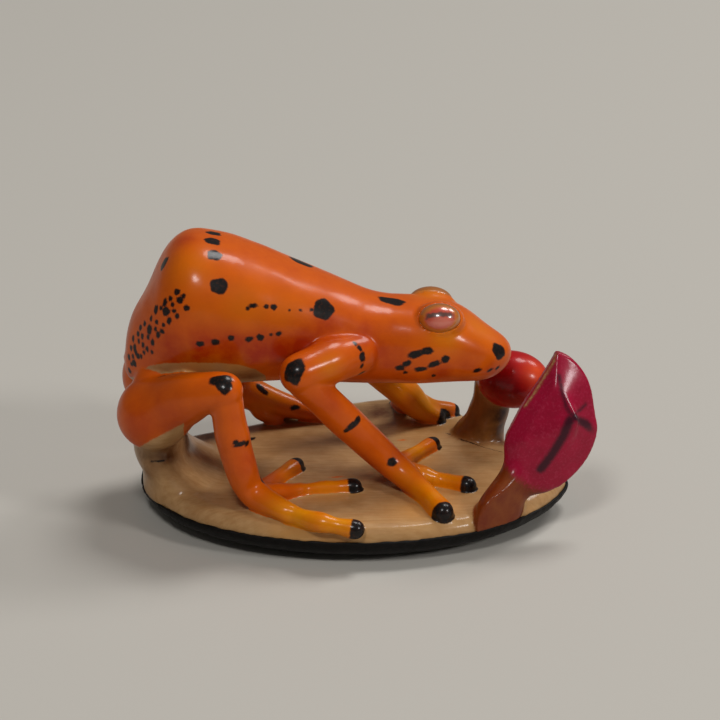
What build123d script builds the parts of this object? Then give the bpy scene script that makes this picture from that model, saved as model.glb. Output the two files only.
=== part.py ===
from build123d import *
import os
from math import copysign, cos, pi, sin

# Frog figurine carved from one palm nut. A spotted frog stoops over a bud and a petal, and stands on
# a slice of the same nut that still wears its seed skin underneath.
#
# Millimetres, +Z up. The frog looks along +X and its right side is towards -Y. The origin lies on the
# flat ground of the underside, below the frog's middle plane. Places on the frog are shares of its
# length from the vent, of half its stance from the middle plane, and of its height from the top of
# the base.

# Base: a slice of the nut
base_length = 46.6
toe_room = 3.6             # how much wider the base is than the stance of the frog
base_top = 4.4             # the ground flat to the top that the feet stand on
rim_height = 2.9           # the ground flat to the edge where carving meets skin
skin_thickness = 0.4
rest_length = 5.6          # the block left standing under the rump
rest_width = 12.5

# Frog
frog_length = 41.4         # vent to snout
frog_height = 26.9         # top of the base to the top of the hump
frog_setback = 24.5        # vent behind the middle of the base
stance_width = 34.0        # outer toes of one side to those of the other
base_width = stance_width + toe_room
trunk_width = 15.2
head_width = 10.0
eye_length = 4.4
eye_width = 3.4
eye_height = 3.2
lid_thickness = 0.5        # the brow that stands round each eye

# Limbs: the thickest place of each
thigh_thickness = 7.8
shank_thickness = 3.9
upper_arm_thickness = 4.8
forearm_thickness = 4.0
foot_thickness = 3.0
hand_thickness = 3.0

# Flower
stalk_thickness = 5.0
petal_height = 14.6
petal_width = 9.4
petal_edge = 1.1           # thickness at the rim
petal_peak = 2.2           # how far the three facets rise in front of the rim
petal_hollow = 0.6
stem_thickness = 5.8
bud_length = 7.8
bud_thickness = 6.2

section_points = 16        # points round one section of the trunk or the head
section_gap = 2.0          # between the sections of a limb
section_arcs = 3           # arcs round the section of a limb
dome_shares = (0.4, 0.75)  # sections of a limb's domed end, shares of a quarter turn

# Base outline, shares of half the length and half the width
outline_shares = (
    (0.996, -0.08), (0.884, -0.37), (0.687, -0.62), (0.386, -0.81), (0.021, -0.88), (-0.365, -0.81),
    (-0.708, -0.60), (-0.923, -0.27), (-0.987, 0.11), (-0.850, 0.48), (-0.615, 0.63), (-0.313, 0.83),
    (0.021, 1.07), (0.279, 1.12), (0.489, 0.97), (0.618, 0.70), (0.760, 0.43), (0.936, 0.16),
)
# Spread of the skin below its edge: share of the rim height, share of the outline
skin_shares = ((0.0, 0.72), (0.19, 0.86), (0.45, 0.945), (0.76, 0.99), (1.0, 1.0))
# Spread of the carved face above that edge: share of the way to the top, share of the outline
shoulder_shares = ((0.45, 0.985), (0.80, 0.96), (1.0, 0.91))
# Block under the rump: share of its rise, shares of its length and width, shift in its length
rest_shares = (
    (0.0, 1.65, 1.18, 0.42), (0.2, 1.45, 1.15, 0.31), (0.3, 1.20, 1.08, 0.15), (0.45, 1.04, 1.02, -0.03),
    (0.65, 0.99, 0.97, -0.08), (1.0, 1.04, 0.92, -0.14),
)
rest_place_share = -0.871  # middle of the block, share of half the base length
rest_top_share = 0.27      # how far up the frog the block goes before the thighs rest in it

# Body sections: share of the length, middle and half depth as shares of the height, then half width
# as a share of half the trunk's width, or for the head of half the head's
trunk_shares = (
    (0.008, 0.491, 0.063, 0.21), (0.036, 0.539, 0.152, 0.47), (0.086, 0.613, 0.227, 0.74),
    (0.136, 0.677, 0.288, 0.91), (0.192, 0.695, 0.303, 0.99), (0.249, 0.690, 0.294, 1.00),
    (0.353, 0.668, 0.262, 0.96), (0.454, 0.636, 0.226, 0.87), (0.558, 0.595, 0.199, 0.76),
    (0.640, 0.568, 0.176, 0.68),
)
head_shares = (
    (0.730, 0.556, 0.168, 1.01), (0.797, 0.553, 0.160, 1.00), (0.855, 0.543, 0.149, 0.92),
    (0.920, 0.510, 0.113, 0.74), (0.964, 0.496, 0.078, 0.52), (0.988, 0.497, 0.047, 0.32),
)
vent_share = 0.480         # height of the vent
snout_share = 0.496        # height of the tip of the snout
neck_share = 0.688         # where head and trunk meet
body_squareness = 2.3      # 2 is an ellipse, more is boxier

# Eyes: share of the length, share of half the head's width, share of the height, share of the size
right_eye_shares = (0.813, -0.66, 0.690, 1.00)
left_eye_shares = (0.792, 0.66, 0.659, 1.14)
brow_shift_shares = (0.25, 0.20)        # towards the middle and down, of the eye's width and height

# Haunch, where the thigh swells out of the rump: its place, then its half sizes as shares of the
# thigh's thickness
haunch_shares = (0.092, 0.224, 0.390)
haunch_size_shares = (0.36, 0.335, 0.41)

# Limbs and toes: shares of the frog's length, half stance and height, then of the thickness. The
# first toe or finger of each row goes on from the shank or forearm.
right_thigh_shares = (
    (0.082, -0.318, 0.320, 1.00), (0.157, -0.488, 0.420, 0.74), (0.210, -0.600, 0.476, 0.58),
    (0.266, -0.659, 0.502, 0.51),
)
right_shank_shares = (
    (0.270, -0.659, 0.480, 0.88), (0.290, -0.671, 0.294, 0.90), (0.312, -0.676, 0.156, 0.82),
    (0.338, -0.659, 0.074, 0.77),
)
right_foot_shares = (
    ((0.432, -0.829, 0.030, 0.73), (0.534, -0.953, 0.019, 0.60), (0.597, -0.976, 0.004, 0.67)),
    ((0.350, -0.630, 0.058, 0.70), (0.457, -0.435, 0.022, 0.50), (0.543, -0.376, 0.015, 0.50),
     (0.592, -0.365, 0.015, 0.60)),
    ((0.345, -0.620, 0.060, 0.70), (0.389, -0.294, 0.026, 0.50), (0.444, -0.041, 0.019, 0.57)),
)
right_upper_arm_shares = (
    (0.606, -0.259, 0.565, 0.92), (0.543, -0.400, 0.568, 1.00), (0.457, -0.559, 0.550, 0.88),
)
right_forearm_shares = (
    (0.460, -0.555, 0.530, 0.90), (0.572, -0.447, 0.323, 0.90), (0.690, -0.335, 0.110, 0.78),
)
right_hand_shares = (
    ((0.775, -0.524, 0.033, 0.73), (0.819, -0.765, 0.019, 0.77)),
    ((0.698, -0.320, 0.090, 0.80), (0.809, -0.288, 0.026, 0.53), (0.886, -0.359, 0.019, 0.63)),
    ((0.693, -0.300, 0.095, 0.73), (0.742, 0.053, 0.033, 0.53), (0.802, 0.306, 0.019, 0.53)),
)
left_thigh_shares = (
    (0.082, 0.318, 0.320, 1.00), (0.152, 0.488, 0.413, 0.74), (0.205, 0.588, 0.457, 0.58),
    (0.256, 0.635, 0.480, 0.51),
)
left_shank_shares = (
    (0.258, 0.641, 0.457, 0.92), (0.269, 0.665, 0.312, 1.00), (0.278, 0.688, 0.223, 1.02),
    (0.300, 0.700, 0.156, 0.96),
)
left_foot_shares = (
    ((0.399, 0.724, 0.086, 0.87), (0.476, 0.747, 0.041, 0.63), (0.524, 0.759, 0.026, 0.63)),
    ((0.326, 0.712, 0.141, 0.70), (0.385, 0.794, 0.052, 0.63), (0.421, 0.841, 0.026, 0.60)),
    ((0.322, 0.682, 0.141, 0.65), (0.352, 0.682, 0.052, 0.53), (0.385, 0.718, 0.019, 0.53)),
)
left_upper_arm_shares = (
    (0.606, 0.259, 0.565, 0.92), (0.563, 0.435, 0.560, 0.98), (0.502, 0.588, 0.513, 0.88),
)
left_forearm_shares = (
    (0.506, 0.594, 0.490, 0.90), (0.630, 0.612, 0.305, 0.92), (0.740, 0.720, 0.118, 0.82),
)
left_hand_shares = (
    ((0.785, 0.738, 0.045, 0.80), (0.813, 0.738, 0.022, 0.67)),
    ((0.746, 0.735, 0.100, 0.85), (0.806, 0.800, 0.045, 0.68), (0.855, 0.865, 0.017, 0.62)),
    ((0.742, 0.728, 0.105, 0.80), (0.727, 0.918, 0.033, 0.60), (0.717, 1.047, 0.015, 0.60)),
)

# Flower: shares of half the base length and half the base width, share of the petal's height, and
# of the thickness
stalk_shares = (
    (0.662, -0.640, -0.060, 1.10), (0.705, -0.535, 0.068, 0.92), (0.762, -0.445, 0.210, 0.80),
)
petal_place_shares = (0.885, -0.412, 0.596)       # the middle of the petal
petal_up = (0.237, 0.213, 0.948)                  # from its foot to its tip
petal_front = (0.111, -0.975, 0.191)              # the way its facets face
# Rim of the petal, shares of half its width and half its height: tip to right corner, right corner
# to foot, foot up the left side to the tip
petal_right_shares = (
    (-0.18, 1.00), (0.14, 0.96), (0.45, 0.84), (0.72, 0.64), (0.92, 0.38), (1.12, 0.08),
)
petal_foot_shares = ((1.12, 0.08), (1.15, -0.16), (1.03, -0.50), (0.78, -0.78), (0.22, -1.13))
petal_left_shares = (
    (0.22, -1.13), (-0.28, -1.09), (-0.68, -0.84), (-0.84, -0.48), (-0.74, -0.12), (-0.55, 0.30),
    (-0.33, 0.70), (-0.18, 1.00),
)
petal_peak_shares = (0.56, 0.150)
petal_bulge_shares = (0.55, 0.60)                 # a ring on the facets: its spread and its rise
petal_hollow_shares = (0.72, 0.78, 0.12)          # its width and length, and its shift to the right
stem_shares = (
    (0.584, 0.489, -0.055, 1.00), (0.618, 0.452, 0.110, 0.78), (0.648, 0.410, 0.315, 0.70),
    (0.657, 0.383, 0.486, 0.67),
)
bud_place_shares = (0.742, 0.324, 0.534)          # the widest place of the bud
bud_way = (0.975, -0.20, -0.09)                   # from its foot to its tip
bud_foot_share = 0.48                             # how much of its length lies before that place


def ring(plane, half_width, half_depth):
    """A closed rounded section on a plane, half_width along its X and half_depth along its Y."""
    points = []
    for i in range(section_points):
        turn = 2 * pi * i / section_points
        across, up = cos(turn), sin(turn)
        x = half_width * copysign(abs(across) ** (2 / body_squareness), across)
        y = half_depth * copysign(abs(up) ** (2 / body_squareness), up)
        points.append((x, y))
    return plane * make_face(Spline(*points, periodic=True))


def slice_at(height, share, inset=0.0):
    """The outline of the base at a height, spread by a share and then drawn in all round."""
    half_length = base_length / 2 * share - inset
    half_width = base_width / 2 * share - inset
    points = [(half_length * x, half_width * y) for x, y in outline_shares]
    return Plane.XY.offset(height) * make_face(Spline(*points, periodic=True))


def frog_point(x_share, y_share, z_share):
    """A place on the frog."""
    return Vector(
        frog_length * x_share - frog_setback,
        stance_width / 2 * y_share,
        base_top + frog_height * z_share,
    )


def base_point(x_share, y_share, z_share):
    """A place on the flower: shares of the base's half length and width and of the petal's height."""
    return Vector(
        base_length / 2 * x_share,
        base_width / 2 * y_share,
        base_top + petal_height * z_share,
    )


def round_section(radius):
    """A disc whose edge is drawn in equal arcs, so that a limb gets a face for each."""
    sweep = 360 / section_arcs
    return make_face([CenterArc((0, 0), radius, sweep * i, sweep) for i in range(section_arcs)])


def limb(points, radii):
    """A round limb that flows through the points, with a dome past the first and past the last."""
    last = len(points) - 1
    slopes = [points[1] - points[0]]
    slopes += [(points[i + 1] - points[i - 1]) / 2 for i in range(1, last)]
    slopes += [points[last] - points[last - 1]]
    sections = []
    for i in range(last):
        start, end = points[i], points[i + 1]
        steps = max(1, round((end - start).length / section_gap))
        for step in range(steps):
            t = step / steps
            ease = t * t * (3 - 2 * t)
            centre = start * (1 - ease) + end * ease
            centre += slopes[i] * (t * (1 - t) ** 2) - slopes[i + 1] * (t * t * (1 - t))
            way = (end - start) * (6 * t * (1 - t))
            way += slopes[i] * ((1 - t) * (1 - 3 * t)) + slopes[i + 1] * (t * (3 * t - 2))
            sections.append((centre, way.normalized(), radii[i] * (1 - ease) + radii[i + 1] * ease))
    sections.append((points[last], slopes[last].normalized(), radii[last]))
    for end, sign in ((sections[0], -1), (sections[-1], 1)):
        centre, way, radius = end
        dome = [
            (centre + way * (sign * radius * sin(share * pi / 2)), way, radius * cos(share * pi / 2))
            for share in dome_shares
        ]
        tip = Vertex(*(centre + way * (sign * radius)))
        sections = [tip, *reversed(dome), *sections] if sign < 0 else [*sections, *dome, tip]
    # Carry one side direction from section to section, so that the skin of the limb doesn't twist
    side = slopes[0].cross(Vector(0, 0, 1))
    faces = []
    for centre, way, radius in sections[1:-1]:
        side = (side - way * side.dot(way)).normalized()
        faces.append((Plane(origin=centre, x_dir=side, z_dir=way) * round_section(radius)).face())
    return loft([sections[0], *faces, sections[-1]])


def frog_limb(rows, thickness):
    """A limb of the frog from its table of shares."""
    return limb([frog_point(*row[:3]) for row in rows], [thickness / 2 * row[3] for row in rows])


def lower_limb(rows, thickness, toes, toe_thickness):
    """A shank or forearm that flows into its first toe, with its other toes, parted at the ankle."""
    points = [frog_point(*row[:3]) for row in (*rows, *toes[0])]
    radii = [thickness / 2 * row[3] for row in rows] + [toe_thickness / 2 * row[3] for row in toes[0]]
    whole = limb(points, radii)
    for toe in toes[1:]:
        whole = whole.fuse(frog_limb(toe, toe_thickness))
    ankle = points[len(rows) - 1]
    parting = Plane(origin=ankle, z_dir=ankle - points[len(rows) - 2])
    upper = split(whole, bisect_by=parting, keep=Keep.BOTTOM)
    paw = split(whole, bisect_by=parting, keep=Keep.TOP)
    return upper, paw


def flower_limb(rows, thickness):
    """A stalk or stem of the flower from its table of shares."""
    return limb([base_point(*row[:3]) for row in rows], [thickness / 2 * row[3] for row in rows])


def petal_side(rows):
    """One side of the petal's rim, in its own plane."""
    return Spline(*[(petal_width / 2 * x, petal_height / 2 * y) for x, y in rows])


def seated(piece, *carriers):
    """The piece cut to sit face to face on what carries it."""
    for carrier in carriers:
        piece -= carrier
    return piece.solids().sort_by(SortBy.VOLUME)[-1]


# Base and skin
skin_outside = loft([slice_at(rim_height * level, share).face() for level, share in skin_shares])
below_edge = [
    slice_at(skin_thickness + (rim_height - skin_thickness) * level, share, skin_thickness).face()
    for level, share in skin_shares
]
above_edge = [
    slice_at(rim_height + (base_top - rim_height) * level, share, skin_thickness).face()
    for level, share in shoulder_shares
]
slab = loft(below_edge) + loft([below_edge[-1], *above_edge], ruled=True)
seed_skin = skin_outside - slab

rest_rise = base_top + frog_height * rest_top_share - rim_height
rest_sections = []
for level, long_share, wide_share, shift_share in rest_shares:
    rest_x = base_length / 2 * rest_place_share + rest_length * shift_share
    rest_plane = Plane(origin=(rest_x, 0, rim_height + rest_rise * level))
    rest_sections.append(ring(rest_plane, rest_length / 2 * long_share, rest_width / 2 * wide_share).face())
rump_rest = loft(rest_sections)

# Trunk and head, one flowing form parted at the neck
sections = []
for rows, width in ((trunk_shares, trunk_width), (head_shares, head_width)):
    for length_share, middle_share, depth_share, width_share in rows:
        origin = frog_point(length_share, 0, middle_share)
        plane = Plane(origin=origin, x_dir=(0, 1, 0), z_dir=(1, 0, 0))
        sections.append(ring(plane, width / 2 * width_share, frog_height * depth_share).face())
body = loft([Vertex(*frog_point(0, 0, vent_share)), *sections, Vertex(*frog_point(1, 0, snout_share))])
neck = Plane(origin=frog_point(neck_share, 0, 0), z_dir=(1, 0, 0))
trunk = split(body, bisect_by=neck, keep=Keep.BOTTOM)
head = split(body, bisect_by=neck, keep=Keep.TOP)

# Eyes, each in its brow
eyes = []
for length_share, spread_share, height_share, size_share in (right_eye_shares, left_eye_shares):
    side = 1 if spread_share > 0 else -1
    middle = frog_point(length_share, 0, height_share) + Vector(0, head_width / 2 * spread_share, 0)
    half_length, half_width, half_height = (
        size / 2 * size_share for size in (eye_length, eye_width, eye_height)
    )
    brow = scale(
        Sphere(1),
        by=(half_length + lid_thickness, half_width + lid_thickness, half_height + lid_thickness),
    )
    inward, down = brow_shift_shares
    head += Pos(middle - Vector(0, side * eye_width * inward, eye_height * down)) * brow
    eyes.append(Pos(middle) * scale(Sphere(1), by=(half_length, half_width, half_height)))
right_eye, left_eye = eyes
head = head - right_eye - left_eye

# Legs and arms
haunch = scale(Sphere(1), by=tuple(thigh_thickness * share for share in haunch_size_shares))
haunch_x, haunch_y, haunch_z = haunch_shares
right_thigh = frog_limb(right_thigh_shares, thigh_thickness)
right_thigh += Pos(frog_point(haunch_x, -haunch_y, haunch_z)) * haunch
left_thigh = frog_limb(left_thigh_shares, thigh_thickness)
left_thigh += Pos(frog_point(haunch_x, haunch_y, haunch_z)) * haunch
right_upper_arm = frog_limb(right_upper_arm_shares, upper_arm_thickness)
left_upper_arm = frog_limb(left_upper_arm_shares, upper_arm_thickness)
right_shank, right_hind_foot = lower_limb(
    right_shank_shares, shank_thickness, right_foot_shares, foot_thickness
)
left_shank, left_hind_foot = lower_limb(
    left_shank_shares, shank_thickness, left_foot_shares, foot_thickness
)
right_forearm, right_hand = lower_limb(
    right_forearm_shares, forearm_thickness, right_hand_shares, hand_thickness
)
left_forearm, left_hand = lower_limb(
    left_forearm_shares, forearm_thickness, left_hand_shares, hand_thickness
)

# Petal: three facets that rise from its rim to one peak, and a hollow back
petal_plane = Plane(
    origin=base_point(*petal_place_shares),
    x_dir=Vector(*petal_up).cross(Vector(*petal_front)),
    z_dir=petal_front,
)
petal_sides = [petal_side(rows) for rows in (petal_right_shares, petal_foot_shares, petal_left_shares)]
petal_rim = Curve() + petal_sides
petal_face = make_face(petal_rim)
peak_x = petal_width / 2 * petal_peak_shares[0]
peak_y = petal_height / 2 * petal_peak_shares[1]
bulge_spread, bulge_rise = petal_bulge_shares
bulge = Pos(peak_x, peak_y, petal_peak * bulge_rise) * scale(
    Pos(-peak_x, -peak_y, 0) * petal_face, by=bulge_spread
)
hollow = scale(
    Sphere(1),
    by=(petal_width / 2 * petal_hollow_shares[0], petal_height / 2 * petal_hollow_shares[1], petal_hollow),
)
petal = extrude(petal_face, -petal_edge)
petal += loft([petal_face.face(), bulge.face(), Vertex(peak_x, peak_y, petal_peak)], ruled=True)
petal -= Pos(petal_width / 2 * petal_hollow_shares[2], 0, -petal_edge) * hollow
petal = petal_plane * petal

# Stalk, stem and bud; the feet of the first two end flush with the edge of the base
above_rim = extrude(slice_at(rim_height, 1), base_top + petal_height)
petal_stalk = flower_limb(stalk_shares, stalk_thickness) & above_rim
bud_stem = flower_limb(stem_shares, stem_thickness) & above_rim
bud_foot = bud_length * bud_foot_share
bud_tip = bud_length - bud_foot
foot_ball = scale(Sphere(1), by=(bud_thickness / 2, bud_thickness / 2, bud_foot))
tip_ball = scale(Sphere(1), by=(bud_thickness / 2, bud_thickness / 2, bud_tip))
red_bud = split(foot_ball, bisect_by=Plane.XY, keep=Keep.BOTTOM)
red_bud += split(tip_ball, bisect_by=Plane.XY, keep=Keep.TOP)
red_bud = Plane(origin=base_point(*bud_place_shares), z_dir=bud_way) * red_bud

# Seat the pieces face to face: each is cut by what carries it
nut_base = slab + seated(rump_rest, right_thigh, left_thigh)
pieces = {
    "seed_skin": seed_skin,
    "nut_base": nut_base,
    "trunk": trunk,
    "head": head,
    "right_eye": right_eye,
    "left_eye": left_eye,
    "right_thigh": seated(right_thigh, trunk),
    "left_thigh": seated(left_thigh, trunk),
    "right_shank": seated(right_shank, right_thigh),
    "left_shank": seated(left_shank, left_thigh),
    "right_hind_foot": seated(right_hind_foot, slab),
    "left_hind_foot": seated(left_hind_foot, slab),
    "right_upper_arm": seated(right_upper_arm, trunk, head),
    "left_upper_arm": seated(left_upper_arm, trunk, head),
    "right_forearm": seated(right_forearm, right_upper_arm),
    "left_forearm": seated(left_forearm, left_upper_arm),
    "right_hand": seated(right_hand, slab),
    "left_hand": seated(left_hand, slab),
    "petal": petal,
    "petal_stalk": seated(petal_stalk, petal, slab, skin_outside),
    "red_bud": red_bud,
    "bud_stem": seated(bud_stem, red_bud, slab, skin_outside),
}

os.makedirs("parts", exist_ok=True)
for name, piece in pieces.items():
    export_step(piece, f"parts/{name}.step")
    print(f"{name}: valid {piece.is_valid}, solids {len(piece.solids())}, volume {piece.volume:.1f} mm3")
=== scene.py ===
"""Frog figurine: a spotted frog carved from one palm nut, stooping over a bud and a petal."""
import logging
import math
from dataclasses import dataclass, field
from enum import Enum

import bmesh
import bpy
import numpy as np
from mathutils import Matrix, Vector, noise
from mathutils.bvhtree import BVHTree


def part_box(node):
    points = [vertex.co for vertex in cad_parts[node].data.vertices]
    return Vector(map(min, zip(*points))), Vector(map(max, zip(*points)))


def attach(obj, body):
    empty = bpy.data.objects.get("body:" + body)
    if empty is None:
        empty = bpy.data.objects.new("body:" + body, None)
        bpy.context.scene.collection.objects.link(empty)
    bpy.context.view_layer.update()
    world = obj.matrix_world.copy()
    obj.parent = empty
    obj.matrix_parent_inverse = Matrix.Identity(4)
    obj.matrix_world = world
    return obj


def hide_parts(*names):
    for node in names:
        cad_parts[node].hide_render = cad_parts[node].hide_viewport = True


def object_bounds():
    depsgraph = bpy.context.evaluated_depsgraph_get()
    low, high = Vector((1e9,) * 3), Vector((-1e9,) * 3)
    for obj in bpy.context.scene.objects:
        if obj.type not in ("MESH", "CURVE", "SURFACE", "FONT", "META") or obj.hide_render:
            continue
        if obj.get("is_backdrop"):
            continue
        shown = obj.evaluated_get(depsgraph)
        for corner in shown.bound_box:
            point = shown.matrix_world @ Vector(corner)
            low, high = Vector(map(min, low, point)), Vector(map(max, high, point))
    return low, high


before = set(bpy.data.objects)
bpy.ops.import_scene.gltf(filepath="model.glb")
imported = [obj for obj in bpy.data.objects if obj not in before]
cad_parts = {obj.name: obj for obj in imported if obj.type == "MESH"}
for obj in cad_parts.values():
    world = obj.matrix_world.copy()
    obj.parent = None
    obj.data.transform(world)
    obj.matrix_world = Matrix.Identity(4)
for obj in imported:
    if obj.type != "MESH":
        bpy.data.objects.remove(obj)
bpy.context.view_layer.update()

log = logging.getLogger("frog_figurine")

MM = 0.001  # one millimetre in scene units
WELD = MM / 1000  # points nearer than this are one
PHOTO_SIDE = 720  # pixels
PULL = 0.5  # share of the way to its neighbours that a point takes in one pass
TINY = 1e-12  # least length that anything is divided by
FACING = 2.0  # mm that a mark's edge moves for each unit of facing
SEED = 7
Array = np.ndarray
Pixel = tuple[float, float]
Triple = tuple[float, float, float]
Colour = tuple[float, float, float, float]


def linear(code: str) -> Colour:
    """Turns a colour as it is seen into linear light.

    Args:
        code: six sRGB hex digits.

    Returns:
        Red, green, blue and an alpha of one.
    """
    shares = [int(code[i:i + 2], 16) / 255 for i in (0, 2, 4)]
    lights = [s / 12.92 if s <= 0.04045 else ((s + 0.055) / 1.055) ** 2.4 for s in shares]
    return (*lights, 1.0)


def add_node(tree: bpy.types.NodeTree, kind: str, inputs: dict | None = None, **settings) -> bpy.types.Node:
    """Adds one node to a material or to the world.

    Args:
        tree: the node tree that gets it.
        kind: the node's type without its ShaderNode prefix.
        inputs: a value, or a socket to link, for each input by name or number.
        settings: the node's own settings.

    Returns:
        The new node.
    """
    node = tree.nodes.new("ShaderNode" + kind)
    for name, value in settings.items():
        setattr(node, name, value)
    for key, value in (inputs or {}).items():
        if isinstance(value, bpy.types.NodeSocket):
            tree.links.new(value, node.inputs[key])
        else:
            node.inputs[key].default_value = value
    return node


def new_material(name: str) -> tuple[bpy.types.Material, bpy.types.NodeTree]:
    """Makes an empty material.

    Args:
        name: what the finish is.

    Returns:
        The material and its node tree.
    """
    material = bpy.data.materials.new(name)
    material.use_nodes = True
    material.node_tree.nodes.clear()
    return material, material.node_tree


class Form(Enum):
    """The families of carved forms, each with the nodes that it holds."""

    BODY = ("trunk", "head")
    LIMBS = (
        "right_thigh", "left_thigh", "right_shank", "left_shank", "right_hind_foot", "left_hind_foot",
        "right_upper_arm", "left_upper_arm", "right_forearm", "left_forearm", "right_hand", "left_hand",
    )
    BASE = ("nut_base",)
    STALK = ("petal_stalk",)
    PETAL = ("petal",)
    STEM = ("bud_stem",)
    BUD = ("red_bud",)


# What lies on the base with a crease of its own: toes, fingers and what bears them
PAWS = tuple(node for node in Form.LIMBS.value if node.endswith(("foot", "shank", "hand", "forearm")))


@dataclass(frozen=True)
class Lens:
    """The photograph's camera, in millimetres and pixels."""

    tilt: float = math.radians(22)
    distance: float = 450.0
    pixels_per_mm: float = 9.35
    target: Triple = (0.75, 0.0, 16.9)
    sensor: float = 36.0

    @property
    def focus(self) -> float:
        """The focal length in pixels."""
        return self.distance * self.pixels_per_mm

    @property
    def up(self) -> Array:
        """The picture's upward direction."""
        return np.array((0, math.sin(self.tilt), math.cos(self.tilt)))

    @property
    def ahead(self) -> Array:
        """The way the camera looks."""
        return np.array((0, math.cos(self.tilt), -math.sin(self.tilt)))

    @property
    def place(self) -> Array:
        """Where the camera stands."""
        return np.array(self.target) - self.ahead * self.distance

    def ray(self, pixel: Pixel) -> Array:
        """The direction from the camera through a pixel of the photograph.

        Args:
            pixel: its column and row.

        Returns:
            A unit vector.
        """
        across = (pixel[0] - PHOTO_SIDE / 2) / self.focus
        rise = (PHOTO_SIDE / 2 - pixel[1]) / self.focus
        way = self.ahead + np.array((across, 0, 0)) + self.up * rise
        return way / np.linalg.norm(way)

    def pixels(self, places: Array) -> tuple[Array, Array]:
        """Where the photograph shows some places.

        Args:
            places: one row for each place in mm.

        Returns:
            Their columns and their rows.
        """
        steps = places - self.place
        depths = steps @ self.ahead
        columns = PHOTO_SIDE / 2 + steps[:, 0] / depths * self.focus
        return columns, PHOTO_SIDE / 2 - steps @ self.up / depths * self.focus

    def set_up(self) -> None:
        """Puts the camera in the scene."""
        data = bpy.data.cameras.new("camera")
        data.sensor_width = self.sensor
        data.lens = self.focus / PHOTO_SIDE * self.sensor
        camera = bpy.data.objects.new("camera", data)
        bpy.context.scene.collection.objects.link(camera)
        camera.location = Vector(self.place) * MM
        camera.rotation_euler = (math.pi / 2 - self.tilt, 0, 0)
        bpy.context.scene.camera = camera


@dataclass(frozen=True)
class Mark:
    """An ink mark: its pixel in the photograph, its size in mm and its turn in the picture."""

    column: float
    row: float
    long: float
    wide: float
    turn: float = 0.0


@dataclass(frozen=True)
class Wash:
    """A soft patch of colour that paints dye, stains, shade and light: its pixel in the photograph, its
    reach in mm, its strength.
    """

    column: float
    row: float
    reach: float
    strength: float


# Ink marks that the photograph shows on the trunk and the head: column, row, length, width, turn
BODY_MARKS = [Mark(*row) for row in (
    (213.5, 233.2, 1.5, 1.2), (212.5, 241, 1.6, 1.4), (214.5, 255, 1.45, 1.35, -15),
    (219, 286, 1.75, 1.6), (164, 263.5, 1.5, 1.3, 60), (301, 262, 2.6, 1.7, -27),
    (323.5, 309, 2.1, 2.2, -30), (392, 301, 2.7, 1.5, -20),
    (247.8, 308.4, 0.35, 0.35), (253.3, 305.6, 0.75, 0.4, 5), (266.3, 306.5, 0.45, 0.4),
    (273.7, 307.1, 0.6, 0.55), (289.4, 310.2, 0.2, 0.2), (300.5, 310.2, 0.25, 0.2),
    (311.6, 309.7, 0.35, 0.3),
    (200, 343.9, 0.75, 0.55), (215.4, 342.2, 0.8, 0.62), (231.1, 338, 0.62, 0.6),
    (249, 339.3, 0.75, 0.5, 10), (260.2, 337.4, 0.65, 0.75, 60), (271, 334.5, 0.25, 0.2),
    (278.7, 333.7, 0.55, 0.42, 30),
    (177.1, 292, 0.65, 0.6), (179.8, 300.1, 0.73, 0.65), (186.6, 308, 0.6, 0.56),
    (170.5, 298.6, 0.43, 0.47), (164.8, 302.5, 0.82, 0.52, 55), (165.9, 311.4, 0.95, 0.86, 20),
    (155.9, 309.6, 0.9, 0.65, 65), (177.1, 316.1, 0.43, 0.53), (169.1, 320.7, 0.69, 0.5, 65),
    (156.6, 322.1, 0.43, 0.43), (149.4, 329.6, 0.99, 0.73, 55), (144.6, 323.6, 0.52, 0.47, 60),
    (140.5, 327.5, 0.52, 0.52, 60), (138.1, 333.9, 0.52, 0.52, 70), (142.3, 336.4, 0.6, 0.43, 70),
    (162.1, 331.4, 0.43, 0.52, 60), (158.1, 334.9, 0.65, 0.47, 60), (152.6, 342.5, 0.65, 0.47, 65),
    (147.1, 348.9, 0.53, 0.43, 65), (133.2, 338.6, 0.65, 0.47, 85), (138.7, 341.1, 0.47, 0.34, 75),
    (134.8, 347.9, 0.77, 0.52, 80), (138, 356.1, 0.6, 0.52, 70), (141.2, 356.4, 0.43, 0.34, 70),
    (134.1, 363.2, 0.69, 0.69), (128.9, 357, 0.6, 0.52, 85), (129.5, 370.5, 0.6, 0.52, 80),
    (172.5, 304.5, 0.39, 0.39), (161, 308, 0.43, 0.39), (151, 318.5, 0.52, 0.39, 60),
    (163.5, 325, 0.39, 0.39), (155.5, 329, 0.39, 0.43), (148, 337, 0.47, 0.39, 60),
    (143, 345, 0.52, 0.43, 70), (152, 352, 0.39, 0.34, 70), (136, 353, 0.52, 0.43, 80),
    (131, 348, 0.52, 0.43, 80), (133, 356.5, 0.43, 0.39, 80), (144, 352.5, 0.39, 0.34, 80),
    (183.5, 296, 0.39, 0.43), (174, 311, 0.43, 0.39), (131.5, 364, 0.43, 0.39, 80),
    (416, 354.2, 1.6, 0.75, 18), (427.4, 351.1, 1.1, 0.75, 5), (399.9, 367.9, 0.85, 0.6, 10),
    (406.8, 363.6, 0.9, 0.55, 35), (405.2, 372.5, 0.4, 0.35), (420.6, 369.2, 1.2, 0.5, 10),
    (434.3, 364.1, 1.2, 0.62, 22), (445.5, 359.2, 0.8, 0.8, 60), (499, 351.1, 1.75, 1.5, -30),
    (477.2, 370.5, 0.8, 0.42, 5), (489.9, 370.2, 0.6, 0.3, 10), (497.5, 367.9, 0.5, 0.3, 25),
    (433.6, 375.6, 0.4, 0.4),
)]
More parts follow.
